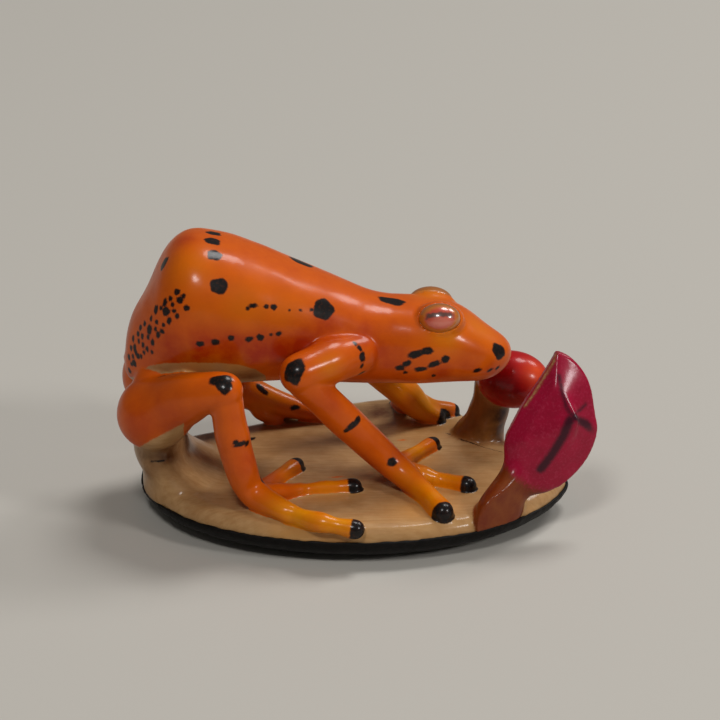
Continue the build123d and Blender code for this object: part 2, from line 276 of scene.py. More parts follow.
# Ink marks on knee, elbow and shoulder, which the hidden side wears too
JOINT_MARKS = [Mark(*row) for row in (
    (220.5, 379.5, 2.3, 1.2, 5), (223.5, 383.5, 1.6, 2.0, 20), (294, 371, 2.6, 1.9, 66),
    (355, 343.5, 0.5, 0.4, -40), (359.7, 348.2, 0.65, 0.45, -50), (362.4, 357, 1.0, 0.75, -70),
    (361.9, 366, 0.5, 0.4, 80), (361, 373.5, 0.85, 0.6, 80),
)]
# Ink marks on the limbs that the photograph shows
LIMB_MARKS = [Mark(*row) for row in (
    (346.5, 430.6, 0.6, 0.4, 30), (352.4, 425.5, 1.2, 0.7, 30), (357.6, 420.5, 1.0, 0.6, 40),
    (392, 462, 0.95, 0.85), (240.4, 444.3, 1.3, 0.5, 5), (235.8, 442.5, 0.55, 0.5, -30),
    (247.2, 443.2, 0.7, 0.45, 20), (252, 438.8, 0.8, 0.5, 75), (262, 480, 0.8, 0.7),
    (163.6, 375.9, 0.8, 0.25), (295, 407.5, 1.0, 0.5, 5), (260.2, 387.8, 1.0, 0.7, -40),
    (264.8, 391.8, 0.8, 0.5, -30),
)]
# Tips of the toes and fingers and how far the ink comes back from each, in mm
TOE_TIPS = (
    ((1.2, -16.7, 4.4), 1.75), ((0.9, -6.1, 4.8), 1.75), ((-5.7, 0.1, 4.9), 1.75),
    ((9.9, -14.1, 4.8), 1.75), ((13.1, -6.4, 4.9), 1.75), ((9.1, 5.9, 4.9), 1.75),
    ((-1.9, 13.0, 4.9), 1.6), ((-6.3, 14.7, 4.8), 1.6),
    ((9.9, 12.6, 4.7), 1.25), ((11.8, 14.8, 4.6), 1.2), ((5.0, 18.7, 4.6), 1.5),
)
# Lower edge of the dye along the flank, from the rump forwards
FLANK_EDGE = (
    (128, 396), (136, 384), (141, 372), (150, 365.5), (165, 363), (193, 362.4), (221, 363), (240, 365),
    (256, 369.5), (266, 376),
)
# Lower edge of the dye on the thigh, where it runs out on the nut below, and on the petal above its stalk
THIGH_EDGE = ((120, 458), (134, 450), (150, 441), (165, 433), (184, 423), (188, 700))
PETAL_EDGE = ((485, 400), (497, 440), (503, 463), (517, 479), (535, 489), (552, 494))
# Yellower dye on hips, face, toes and the bud's tip, and painted light on the far forearm and hand, on the
# fingers in the forearm's shadow and on the belly strip under the flank
YELLOW_DYE_AND_PAINTED_LIGHT = [Wash(*row) for row in (
    (188, 266, 3.0, 0.25), (205, 318, 2.6, 0.15), (245, 315, 3.6, 0.25), (285, 322, 3.4, 0.2),
    (446, 336, 1.8, 0.5), (452, 326, 1.4, 0.4), (537, 374, 1.5, 0.9), (388, 393, 3.6, 1.0),
    (425, 403, 3.4, 1.0), (300, 514, 3.6, 1.0), (335, 524, 3.0, 1.0), (330, 490, 3.0, 0.7),
    (440, 478, 3.0, 0.8), (412, 448, 2.8, 0.9), (425, 500, 3.4, 0.8), (405, 478, 2.0, 0.4),
    (285, 466, 2.2, 0.6), (270, 402, 3.0, 0.5), (330, 366, 1.6, 0.35), (430, 290, 2.0, 0.4),
    (480, 328, 2.4, 0.3), (205, 366, 2.6, 0.9), (235, 368, 2.6, 0.9),
)]
# Redder dye along the lower flank and here and there, and painted shade under the thigh, jaw and shank and
# on the bud's lower side
RED_DYE_AND_PAINTED_SHADE = [Wash(*row) for row in (
    (175, 352, 2.6, 0.9), (205, 352, 2.8, 1.0), (230, 351, 2.8, 1.0), (255, 353, 2.8, 1.0),
    (280, 352, 2.6, 1.0), (303, 346, 2.6, 1.0), (325, 332, 2.2, 0.8), (345, 328, 2, 0.5),
    (365, 334, 2, 0.6), (383, 348, 2.2, 0.6), (384, 368, 2.2, 0.5), (184, 240, 1.6, 0.5),
    (150, 345, 2.2, 0.4), (440, 374, 1.2, 0.8), (470, 366, 1.2, 0.4), (478, 350, 1.6, 0.3),
    (330, 400, 1.6, 0.5), (250, 462, 1.6, 0.5), (398, 452, 1.6, 0.4), (140, 425, 2.6, 0.5),
    (170, 420, 2.6, 0.5), (516, 395, 1.8, 0.9), (500, 385, 1.8, 0.8), (528, 400, 1.8, 0.8),
    (490, 375, 1.4, 0.7),
)]
# Brownish washes: stains on the bare base, and painted shadow under the thigh, round the feet, behind the
# forearm and on the belly strip, with painted shade down the stem's right flank
STAINS_AND_PAINTED_SHADOW = [Wash(*row) for row in (
    (345, 430, 2, 0.6), (200, 440, 2.6, 0.45), (168, 453, 2.3, 0.8), (150, 462, 2, 0.6),
    (380, 412, 2.8, 0.9), (425, 420, 1.8, 0.5), (270, 425, 2.4, 0.5), (306, 416, 2, 0.5),
    (498, 395, 1.4, 0.8), (500, 416, 1.6, 1.0), (499, 430, 1.6, 1.0), (500, 441, 1.3, 0.9),
    (483, 436, 1.6, 0.35), (225, 371, 2.4, 0.2), (248, 377, 2.4, 0.6), (186, 441, 2, 0.8),
    (268, 382, 1.6, 0.7), (206, 437, 2, 0.8), (196, 452, 2.2, 0.5), (502, 406, 1.2, 1.0),
    (243, 492, 1.6, 0.3), (372, 478, 1.8, 0.35), (455, 470, 1.6, 0.25), (290, 475, 1.8, 0.3),
    (350, 505, 1.6, 0.2), (205, 500, 2.6, 0.2),
)]
# Lines painted along the ridges of the petal, with their widths in mm
PETAL_LINES = (
    (((559, 376), (562, 392), (567, 408), (573, 417)), 0.4),
    (((575, 417), (586, 424), (598, 431)), 0.95),
    (((570, 420), (563, 437), (553, 453), (541, 469)), 0.95),
    (((575, 415), (580, 410), (586, 404)), 0.3),
)
# The petal's raw rim, where the dye was scraped off
RAW_RIM = (((556, 353.5), (553.5, 362), (544, 377), (533, 395), (525, 406)), 0.3)
# Dye that strayed onto the base
SMEARS = [Mark(336.5, 477, 0.9, 0.25, 8), Mark(402, 440, 0.5, 0.2, 20)]
# A fine crack and specks on the bare top of the base
BASE_LINES = (
    (((446, 433), (462, 440), (480, 446), (502, 452)), 0.16),
    (((151, 461.5), (158, 461.3), (164, 460.8)), 0.22),
)


@dataclass(frozen=True)
class CarvedNut:
    """Palm nut, hard as ivory, cut with a knife, dyed, inked and brushed with clear lacquer.

    The eye sees a fine grain in the bare nut, dye that soaked in unevenly, ink with ragged edges, and a
    wet gloss that follows the knife's soft facets. Soft washes also paint shade and light into the colour.
    """

    bare: str = "BC9464"
    grain: str = "9A6C3E"
    # warmer tone of the bare nut near the toes, and painted bounce light on the belly strip under the flank
    warm_tone_and_bounce_light: str = "C48C4A"
    # dark brown of the stains on the bare nut, and of the painted shadow under the thigh, round the feet
    # and behind the forearm
    stain_and_shadow_hue: str = "56290D"
    orange: str = "CE5800"
    # yellower dye, also used as painted light on the far forearm, hand and fingers where shade falls
    yellow: str = "DC8600"
    # redder dye, also used as painted shade under the thigh, jaw and shank
    red: str = "A22800"
    stalk: str = "6A2206"
    stalk_pale: str = "92501C"
    petal: str = "9C0630"
    petal_deep: str = "78041E"
    petal_pale: str = "A82A48"
    vein: str = "3C0C1C"
    stem: str = "96602C"
    stem_deep: str = "6A3C12"
    # painted shade down the stem's right flank
    stem_shade: str = "301206"
    bud: str = "A8060C"
    # painted shade on the bud's lower side
    bud_underside_shade: str = "520004"
    bud_tip: str = "D84A1C"
    ink: str = "100B0A"
    ink_thin: str = "44200F"
    ior: float = 1.53
    least_roughness: float = 0.39
    most_roughness: float = 0.53
    sheen_left: float = 0.08  # what the nut still reflects by itself under the lacquer
    lacquer: float = 0.38
    lacquer_roughness: float = 0.18
    grain_width: float = 0.35  # mm between the lines of the grain
    band_width: float = 2.45  # mm between the nut's darker bands
    grain_squeeze: Triple = (0.12, 1.0, 0.5)  # its lines run along x
    mottle_width: float = 2.2  # mm across a patch of thicker dye
    ragged_width: float = 0.28  # mm between the bumps on the edge of a mark
    ripple_width: float = 1.6  # mm between the waves in the brushed lacquer
    ripple_depth: float = 0.014  # mm
    fine_width: float = 0.32  # mm between the smaller waves
    fine_share: float = 0.2  # their height as a share of the others'
    pattern_roughness: float = 0.6

    def material(self) -> bpy.types.Material:
        """Makes the finish.

        Returns:
            One material for every carved form, told apart by the dyes that each wears.
        """
        material, tree = new_material("carved_palm_nut_dyed_and_lacquered")
        place = add_node(tree, "TexCoord").outputs["Object"]
        mm = add_node(tree, "VectorMath", {0: place, "Scale": 1 / MM}, operation="SCALE").outputs[0]
        terms = {0: mm, 1: self.grain_squeeze}
        streaks = add_node(tree, "VectorMath", terms, operation="MULTIPLY").outputs[0]
        patterns = {}
        for name, vector, width, detail in (
            ("grain", streaks, self.grain_width, 6.0),
            ("bands", streaks, self.band_width, 3.0),
            ("mottle", mm, self.mottle_width, 4.0),
            ("ragged", mm, self.ragged_width, 3.0),
            ("ripple", mm, self.ripple_width, 2.0),
            ("fine", mm, self.fine_width, 3.0),
        ):
            sizes = {"Vector": vector, "Scale": 1 / width, "Detail": detail}
            sizes["Roughness"] = self.pattern_roughness
            patterns[name] = add_node(tree, "TexNoise", sizes).outputs[0]

        # Each dye: its name, how soft its edge is and how ragged, in mm
        centred = add_node(tree, "Math", {0: patterns["ragged"], 1: 0.5}, operation="SUBTRACT").outputs[0]
        dyed = {}
        for name, soft, ragged in (
            ("orange", 0.12, 0.35), ("stalk", 0.25, 0.5), ("petal", 0.3, 0.6), ("stem", 0.6, 0.8),
            ("bud", 0.15, 0.4), ("vein", 0.28, 0.35), ("ink", 0.1, 0.24), ("fleck", 0.06, 0.15),
        ):
            reach = add_node(tree, "Attribute", attribute_name=name).outputs["Fac"]
            terms = {0: centred, 1: ragged, 2: reach}
            edge = add_node(tree, "Math", terms, operation="MULTIPLY_ADD").outputs[0]
            limits = {"Value": edge, "From Min": -soft, "From Max": soft}
            dyed[name] = add_node(tree, "MapRange", limits, interpolation_type="SMOOTHSTEP").outputs[0]

        # Each share of a pattern: name, pattern, the values between which it grows, least and most
        shares = {}
        for name, pattern, low, high, least, most in (
            ("grain", "grain", 0.42, 0.75, 0.0, 0.6),
            ("bands", "bands", 0.45, 0.75, 0.0, 0.4),
            ("mottle", "mottle", 0.35, 0.75, 0.0, 0.55),
            ("cloud", "mottle", 0.35, 0.75, 0.0, 0.3),
            ("thin", "ragged", 0.5, 0.75, 0.0, 0.6),
            ("uneven", "mottle", 0.3, 0.7, 0.65, 1.25),
            ("gloss", "mottle", 0.3, 0.7, self.least_roughness, self.most_roughness),
        ):
            limits = {"From Min": low, "From Max": high, "To Min": least, "To Max": most}
            limits["Value"] = patterns[pattern]
            shares[name] = add_node(tree, "MapRange", limits).outputs[0]
        # The washes: yellower dye and painted light, redder dye and painted shade, stains and painted
        # shadow
        for name in ("yellow", "red", "brown"):
            wash = add_node(tree, "Attribute", attribute_name=name).outputs["Fac"]
            terms = {0: wash, 1: shares["uneven"]}
            shares[name] = add_node(tree, "Math", terms, operation="MULTIPLY", use_clamp=True).outputs[0]

        # The yellow layers also paint light, the red and brown layers also paint shade and shadow, where
        # the washes lie
        # Each coat: its name, its ground, and the layers over it with their shares and colours
        coats = {}
        for coat, ground, layers in (
            ("bare", self.bare, (
                ("grain", self.grain), ("bands", self.grain), ("mottle", self.grain),
                ("yellow", self.warm_tone_and_bounce_light), ("brown", self.stain_and_shadow_hue),
            )),
            ("orange", self.orange, (("cloud", self.red), ("yellow", self.yellow), ("red", self.red))),
            ("stalk", self.stalk, (("mottle", self.stalk_pale),)),
            # the stem: mottle, and painted shade down its right flank
            ("stem", self.stem, (("mottle", self.stem_deep), ("brown", self.stem_shade))),
            ("ink", self.ink, (("thin", self.ink_thin),)),
            ("petal", self.petal, (("mottle", self.petal_deep), ("thin", self.petal_pale))),
            # the bud: an orange tip, and painted shade on its lower side
            ("bud", self.bud, (("yellow", self.bud_tip), ("red", self.bud_underside_shade))),
        ):
            colour = linear(ground)
            for share, hue in layers:
                inputs = {0: shares[share], 6: colour, 7: linear(hue)}
                colour = add_node(tree, "Mix", inputs, data_type="RGBA").outputs[2]
            coats[coat] = colour

        # The coats over one another, each where its dye lies
        colour = coats["bare"]
        coats["vein"], coats["fleck"] = linear(self.vein), linear(self.ink)
        for coat in ("stem", "orange", "stalk", "petal", "bud", "vein", "fleck", "ink"):
            inputs = {0: dyed[coat], 6: colour, 7: coats[coat]}
            colour = add_node(tree, "Mix", inputs, data_type="RGBA").outputs[2]

        terms = {0: patterns["fine"], 1: self.fine_share, 2: patterns["ripple"]}
        heights = add_node(tree, "Math", terms, operation="MULTIPLY_ADD").outputs[0]
        bump = add_node(tree, "Bump", {"Height": heights, "Distance": self.ripple_depth * MM})
        shader = add_node(tree, "BsdfPrincipled", {
            "Base Color": colour, "Roughness": shares["gloss"], "IOR": self.ior, "Normal": bump.outputs[0],
            "Specular IOR Level": self.sheen_left, "Coat Weight": self.lacquer,
            "Coat Roughness": self.lacquer_roughness, "Coat Normal": bump.outputs[0],
        })
        add_node(tree, "OutputMaterial", {"Surface": shader.outputs[0]})
        return material


@dataclass(frozen=True)
class SeedSkin:
    """The nut's own skin, left on underneath: thin, brittle, almost black, with fine wrinkles."""

    dark: str = "060403"
    worn: str = "140D0A"
    ior: float = 1.45
    roughness: float = 0.55
    sheen: float = 0.2  # the dry skin drinks most of the light that lacquer would reflect
    wrinkle_width: float = 0.5  # mm
    wrinkle_depth: float = 0.05  # mm
    worn_start: float = 0.5  # values of the pattern between which the skin is more and more worn
    worn_end: float = 0.8

    def material(self) -> bpy.types.Material:
        """Makes the finish.

        Returns:
            The skin's material.
        """
        material, tree = new_material("dark_palm_nut_skin")
        place = add_node(tree, "TexCoord").outputs["Object"]
        mm = add_node(tree, "VectorMath", {0: place, "Scale": 1 / MM}, operation="SCALE").outputs[0]
        sizes = {"Vector": mm, "Scale": 1 / self.wrinkle_width, "Detail": 5.0}
        wrinkles = add_node(tree, "TexNoise", sizes).outputs[0]
        limits = {"Value": wrinkles, "From Min": self.worn_start, "From Max": self.worn_end}
        worn_share = add_node(tree, "MapRange", limits).outputs[0]
        inputs = {0: worn_share, 6: linear(self.dark), 7: linear(self.worn)}
        colour = add_node(tree, "Mix", inputs, data_type="RGBA").outputs[2]
        bump = add_node(tree, "Bump", {"Height": wrinkles, "Distance": self.wrinkle_depth * MM})
        shader = add_node(tree, "BsdfPrincipled", {
            "Base Color": colour, "Roughness": self.roughness, "IOR": self.ior, "Normal": bump.outputs[0],
            "Specular IOR Level": self.sheen,
        })
        add_node(tree, "OutputMaterial", {"Surface": shader.outputs[0]})
        return material


@dataclass(frozen=True)
class PaintedEye:
    """A dome of nut painted with a slit and an iris under a thick drop of lacquer, clear as glass."""

    amber: str = "C4701C"
    rim: str = "A65E18"
    iris: str = "C0442C"
    blush: str = "D0705C"
    slit: str = "5E3C34"
    ior: float = 1.5
    roughness: float = 0.3
    drop_roughness: float = 0.04
    bumps_per_mm: float = 3.0  # along the painted edges
    ragged: float = 0.35  # mm

    def material(self) -> bpy.types.Material:
        """Makes the finish.

        Returns:
            The eye's material.
        """
        material, tree = new_material("painted_eye_under_lacquer")
        colour = linear(self.amber)
        place = add_node(tree, "TexCoord").outputs["Object"]
        mm = add_node(tree, "VectorMath", {0: place, "Scale": 1 / MM}, operation="SCALE").outputs[0]
        sizes = {"Vector": mm, "Scale": self.bumps_per_mm, "Detail": 3.0}
        ragged = add_node(tree, "TexNoise", sizes).outputs[0]
        centred = add_node(tree, "Math", {0: ragged, 1: 0.5}, operation="SUBTRACT").outputs[0]
        for name, soft, hue in (
            ("rim", 0.3, self.rim), ("iris", 0.22, self.iris), ("blush", 0.3, self.blush),
            ("slit", 0.12, self.slit),
        ):
            reach = add_node(tree, "Attribute", attribute_name=name).outputs["Fac"]
            terms = {0: centred, 1: self.ragged, 2: reach}
            edge = add_node(tree, "Math", terms, operation="MULTIPLY_ADD").outputs[0]
            limits = {"Value": edge, "From Min": -soft, "From Max": soft}
            share = add_node(tree, "MapRange", limits, interpolation_type="SMOOTHSTEP").outputs[0]
            inputs = {0: share, 6: colour, 7: linear(hue)}
            colour = add_node(tree, "Mix", inputs, data_type="RGBA").outputs[2]
        shader = add_node(tree, "BsdfPrincipled", {
            "Base Color": colour, "Roughness": self.roughness, "IOR": self.ior,
            "Coat Weight": 1.0, "Coat Roughness": self.drop_roughness,
        })
        add_node(tree, "OutputMaterial", {"Surface": shader.outputs[0]})
        return material


def voxel_skin(name: str, nodes: tuple[str, ...], voxel: float, swell: float) -> tuple[Array, Array]:
    """Runs one closed skin round some of the frame's nodes.

    Args:
        name: a name for the working mesh.
        nodes: the nodes that it wraps together.
        voxel: the size of its faces in mm.
        swell: how far each node swells first in mm, so that touching faces merge.

    Returns:
        The skin's places in mm and its four-sided faces.
    """
    joined = bmesh.new()
    for node in nodes:
        piece = bmesh.new()
        piece.from_mesh(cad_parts[node].data)
        bmesh.ops.remove_doubles(piece, verts=piece.verts, dist=WELD)
        bmesh.ops.recalc_face_normals(piece, faces=piece.faces)
        piece.normal_update()
        for vert in piece.verts:
            vert.co += vert.normal * swell * MM
        mesh = bpy.data.meshes.new(name)
        piece.to_mesh(mesh)
        piece.free()
        joined.from_mesh(mesh)
        bpy.data.meshes.remove(mesh)
    mesh = bpy.data.meshes.new(name)
    joined.to_mesh(mesh)
    joined.free()
    working = bpy.data.objects.new(name, mesh)
    bpy.context.scene.collection.objects.link(working)
    remesh = working.modifiers.new("skin", "REMESH")
    remesh.mode = "VOXEL"
    remesh.voxel_size = voxel * MM
    skin = bpy.data.meshes.new_from_object(working.evaluated_get(bpy.context.evaluated_depsgraph_get()))
    places = np.zeros(len(skin.vertices) * 3, np.float64)
    skin.vertices.foreach_get("co", places)
    faces = np.zeros(len(skin.loops), np.int64)
    skin.loops.foreach_get("vertex_index", faces)
    bpy.data.objects.remove(working)
    bpy.data.meshes.remove(skin)
    bpy.data.meshes.remove(mesh)
    return places.reshape(-1, 3) / MM, faces.reshape(-1, 4)


class Surface:
    """A skin of four-sided faces in mm, with what smoothing and painting need of it."""

    def __init__(self, places: Array, faces: Array) -> None:
        """Keeps the skin and lists its edges.

        Args:
            places: its points in mm.
            faces: its four-sided faces.
        """
        self.places = places
        self.faces = faces
        sides = np.concatenate([faces[:, [i, (i + 1) % 4]] for i in range(4)])
        self.edges = np.unique(np.sort(sides, axis=1), axis=0)
        self.degree = np.maximum(np.bincount(self.edges.ravel(), minlength=len(places)), 1)[:, None]
        self.normals = self.find_normals()

    def find_normals(self) -> Array:
        """Works out the unit normal at each point.

        Returns:
            One row for each point.
        """
        a, b, c, d = (self.places[self.faces[:, i]] for i in range(4))
        flat = np.cross(c - a, d - b)
        total = np.zeros_like(self.places)
        for axis in range(3):
            for i in range(4):
                total[:, axis] += np.bincount(self.faces[:, i], flat[:, axis], len(self.places))
        return total / np.maximum(np.linalg.norm(total, axis=1), TINY)[:, None]

    def pull(self) -> Array:
        """The step from each point to the mean of its neighbours.

        Returns:
            One row for each point.
        """
        total = np.zeros_like(self.places)
        for axis in range(3):
            for near, far in ((0, 1), (1, 0)):
                weights = self.places[self.edges[:, far], axis]
                total[:, axis] += np.bincount(self.edges[:, near], weights, len(self.places))
        return total / self.degree - self.places

    def smooth(self, passes: int, there: float = PULL, back: float = -0.52) -> None:
        """Takes the roughness off without shrinking the form.

        Args:
            passes: how often.
            there: the share of each pull.
            back: the share of the pull that undoes the shrinking.
        """
        for _ in range(passes):
            self.places += self.pull() * there
            self.places += self.pull() * back
        self.normals = self.find_normals()

    def fill_creases(self, passes: int, share: Array | float) -> None:
        """Rounds the inner corners, as a knife leaves them, and leaves the outer ones.

        Args:
            passes: how often; more passes give rounder corners.
            share: how much of it each point takes.
        """
        for _ in range(passes):
            self.normals = self.find_normals()
            inwards = np.clip(np.sum(self.pull() * self.normals, axis=1), 0, None)
            self.places += self.normals * (PULL * share * inwards)[:, None]
        self.normals = self.find_normals()

    def melt(self, passes: int, share: Array) -> None:
        """Rounds inner and outer corners alike.

        Args:
            passes: how often; more passes melt more.
            share: how much of it each point takes.
        """
        for _ in range(passes):
            self.places += self.pull() * (PULL * share)[:, None]
        self.normals = self.find_normals()

    def tree(self) -> BVHTree:
        """The skin as a tree that rays and nearest points can be asked of."""
        return BVHTree.FromPolygons(self.places.tolist(), self.faces.tolist())


def write_mesh(name: str, places: Array, faces: list, normals: Array) -> bpy.types.Object:
    """Makes a smooth object from places in mm.

    Args:
        name: its name.
        places: its points in mm.
        faces: its faces.
        normals: the shading normal at each point.

    Returns:
        The object, linked to the scene.
    """
    mesh = bpy.data.meshes.new(name)
    mesh.from_pydata((places * MM).tolist(), [], faces)
    mesh.polygons.foreach_set("use_smooth", [True] * len(faces))
    mesh.update()
    corners = np.zeros(len(mesh.loops), np.int64)
    mesh.loops.foreach_get("vertex_index", corners)
    mesh.normals_split_custom_set(normals[corners].tolist())
    piece = bpy.data.objects.new(name, mesh)
    bpy.context.scene.collection.objects.link(piece)
    return piece


@dataclass
class Carving:
    """The whole nut: one skin with rounded creases, painted, then parted into the carver's forms."""

    lens: Lens
    voxel: float = 0.18  # mm
    quick_voxel: float = 0.324
    swell: float = 0.05  # mm, so that touching nodes merge
    first_passes: int = 2  # of smoothing, against the voxels' steps
    crease_passes: int = 9
    root_passes: int = 45  # more, where stem, stalk and thighs grow from the base
    root_width: float = 0.9  # mm
    mound_width: float = 0.5  # mm, for the base's own creases
    paw_room: float = 0.5  # mm round toes and fingers where the base's creases stay
    smooth_passes: int = 6
    knife_width: float = 3.2  # mm between the soft facets that the knife left
    knife_depth: float = 0.08  # mm
    reach: float = 2.0  # mm, the furthest that a dye's distance is kept
    bleed: float = 0.05  # mm, how far ink creeps past the brush
    squareness: float = 2.4  # of an ink mark; 2 is an ellipse
    wobble: float = 0.05  # of its outline, as a share
    turned_away: float = 0.05  # least facing, so that a mark stays on its own side
    stray: float = 0.35  # mm between a mark and its match on the other side
    ridge: float = 1.5  # mm either side of the middle where marks have no match
    tip_bleed: float = 0.15  # mm, how far the ink of a toe passes its dye
    front_fall: float = 1.0  # mm, how soon a dye's lower edge falls away at its front end
    melt_passes: int = 150  # where the stalk's top runs into the petal
    melt_width: float = 1.7  # mm
    petal_fade: float = 0.45  # less makes the petal's dye run out more slowly down the stalk
    masks: dict[str, Array] = field(default_factory=dict)

    def carve(self) -> None:
        """Makes the skin, rounds its creases and leaves the knife's soft facets on it."""
        nodes = tuple(node for form in Form for node in form.value)
        voxel = self.voxel
        self.surface = Surface(*voxel_skin("carving", nodes, voxel, self.swell))
        self.surface.smooth(self.first_passes)
        finer = (self.voxel / voxel) ** 2
        self.surface.fill_creases(round(self.crease_passes * finer), 1.0)
        stalk, petal = self.distances(Form.STALK.value), self.distances(Form.PETAL.value)
        joint = np.exp(-(np.maximum(stalk, petal) / self.melt_width) ** 2)
        self.surface.melt(round(self.melt_passes * finer), joint)
        base = self.distances(Form.BASE.value)
        grown = self.distances(Form.STEM.value + Form.STALK.value + ("right_thigh", "left_thigh"))
        paws = self.distances(PAWS)
        rooted = np.exp(-(np.maximum(grown, base) / self.root_width) ** 2)
        mound = np.clip(paws - self.paw_room, 0, 1) * np.exp(-(base / self.mound_width) ** 2)
        self.surface.fill_creases(round(self.root_passes * finer), np.maximum(rooted, mound))
        self.surface.smooth(self.smooth_passes)
        waves = np.array([noise.noise(Vector(p) / self.knife_width) for p in self.surface.places])
        self.surface.places += self.surface.normals * (waves * self.knife_depth)[:, None]
        self.surface.normals = self.surface.find_normals()
        self.hull = self.surface.tree()
        log.info("carving: %d faces", len(self.surface.faces))

    def distances(self, nodes: tuple[str, ...]) -> Array:
        """How far each point of the skin is from some nodes.

        Args:
            nodes: their names.

        Returns:
            Distances in mm, no more than twice the reach.
        """
        places, faces = [], []
        for node in nodes:
            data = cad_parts[node].data
            first = len(places)
            places += [v.co / MM for v in data.vertices]
            faces += [[first + i for i in polygon.vertices] for polygon in data.polygons]
        tree = BVHTree.FromPolygons(places, faces)
        low = np.min(places, axis=0) - self.reach
        high = np.max(places, axis=0) + self.reach
        inside = np.all((self.surface.places > low) & (self.surface.places < high), axis=1)
        far = self.reach * 2
        found = np.full(len(self.surface.places), far)
        for i in np.flatnonzero(inside):
            hit = tree.find_nearest(self.surface.places[i], far)
            if hit[3] is not None:
                found[i] = hit[3]
        return found

    def lay_dyes(self) -> None:
        """Finds which node each face belongs to and how far each point lies inside each dye."""
        gaps = {node: self.distances((node,)) for form in Form for node in form.value}
        self.owners = list(gaps)
        table = np.stack([gaps[node] for node in self.owners], axis=1)
        self.face_owner = np.argmin(table[self.surface.faces].sum(axis=1), axis=1)
        near = {form: np.min([gaps[node] for node in form.value], axis=0) for form in Form}

        def inside(*forms: Form) -> Array:
            """How far each point lies inside some forms.

            Args:
                forms: the families, taken together.

            Returns:
                Distances in mm from their edge with the others.
            """
            own = np.min([near[form] for form in forms], axis=0)
            others = np.min([near[form] for form in Form if form not in forms], axis=0)
            return np.clip(others - own, -self.reach, self.reach)

        edge = np.array([self.cast(pixel)[0] for pixel in FLANK_EDGE])
        columns, rows = [*edge[:, 0], edge[-1, 0] + self.front_fall], [*edge[:, 2], -self.reach]
        flank = self.surface.places[:, 2] - np.interp(self.surface.places[:, 0], columns, rows)
        thigh = self.above(THIGH_EDGE)
        self.masks["orange"] = np.max([
            np.minimum(inside(Form.LIMBS), thigh),
            np.minimum(inside(Form.BODY), flank),
            np.min([inside(Form.BODY, Form.LIMBS), flank, thigh], axis=0),
        ], axis=0)
        self.masks["stem"], self.masks["bud"] = inside(Form.STEM), inside(Form.BUD)
        self.masks["stalk"] = inside(Form.STALK, Form.PETAL)
        self.masks["petal"] = np.minimum(self.masks["stalk"], self.above(PETAL_EDGE) * self.petal_fade)

    def above(self, edge: tuple[Pixel, ...]) -> Array:
        """How far each point lies above an edge drawn in the photograph.

        Args:
            edge: its pixels from left to right.

        Returns:
            Distances in mm.
        """
        columns, rows = self.lens.pixels(self.surface.places)
        edge_columns, edge_rows = zip(*edge)
        return (np.interp(columns, edge_columns, edge_rows) - rows) / self.lens.pixels_per_mm

    def cast(self, pixel: Pixel) -> tuple[Array, Array]:
        """Finds the place on the carving that a pixel of the photograph shows.

        Args:
            pixel: its column and row. One just off the carving takes the nearest place.

        Returns:
            The place in mm and its outward normal.
        """
        way = self.lens.ray(pixel)
        place, _, face, _ = self.hull.ray_cast(Vector(self.lens.place), Vector(way))
        if place is None:
            middle = self.lens.place + way * self.lens.distance
            place, _, face, _ = self.hull.find_nearest(Vector(middle))
        return np.array(place), self.facing(face)

    def facing(self, face: int) -> Array:
        """The way that a face of the skin faces.

        Args:
            face: its number.

        Returns:
            The mean of its corners' normals, as a unit vector.
        """
        normal = self.surface.normals[self.surface.faces[face]].mean(axis=0)
        return normal / np.linalg.norm(normal)

    def press(self, name: str, place: Array, normal: Array, mark: Mark) -> None:
        """Adds one mark to a mask.

        Args:
            name: the mask.
            place: its middle in mm.
            normal: the way that the surface faces there.
            mark: its sizes and turn.
        """
        turn = math.radians(mark.turn)
        along = np.array((math.cos(turn), 0, 0)) + self.lens.up * math.sin(turn)
        along -= normal * along.dot(normal)
        along /= np.linalg.norm(along)
        across = np.cross(normal, along)
        steps = self.surface.places - place
        x, y = steps @ along / mark.long * 2, steps @ across / mark.wide * 2
        spread = (np.abs(x) ** self.squareness + np.abs(y) ** self.squareness) ** (1 / self.squareness)
        round_it, start = np.arctan2(y, x), mark.column + mark.row
        waves = np.sin(3 * round_it + start) + np.sin(5 * round_it + 2 * start)
        spread *= 1 + self.wobble * waves
        inside = (1 - spread) * min(mark.long, mark.wide) / 2 + self.bleed
        inside = np.minimum(inside, mark.long - np.abs(steps @ normal))
        inside = np.minimum(inside, (self.surface.normals @ normal - self.turned_away) * FACING)
        self.raise_mask(name, inside)

    def raise_mask(self, name: str, inside: Array) -> None:
        """Joins a shape to a mask.

        Args:
            name: the mask.
            inside: how far each point lies inside the shape, in mm.
        """
        old = self.masks.get(name)
        inside = np.clip(inside, -self.reach, self.reach)
        self.masks[name] = inside if old is None else np.maximum(old, inside)

    def other_side(self, place: Array, shift: Array | float) -> tuple[Array, Array]:
        """Finds the matching place on the frog's other side.

        Args:
            place: a place in mm.
            shift: how far the other place strays, so that the two sides differ.

        Returns:
            The place on the surface in mm and its normal.
        """
        goal = place * (1, -1, 1) + shift
        found, _, face, _ = self.hull.find_nearest(Vector(goal))
        return np.array(found), self.facing(face)

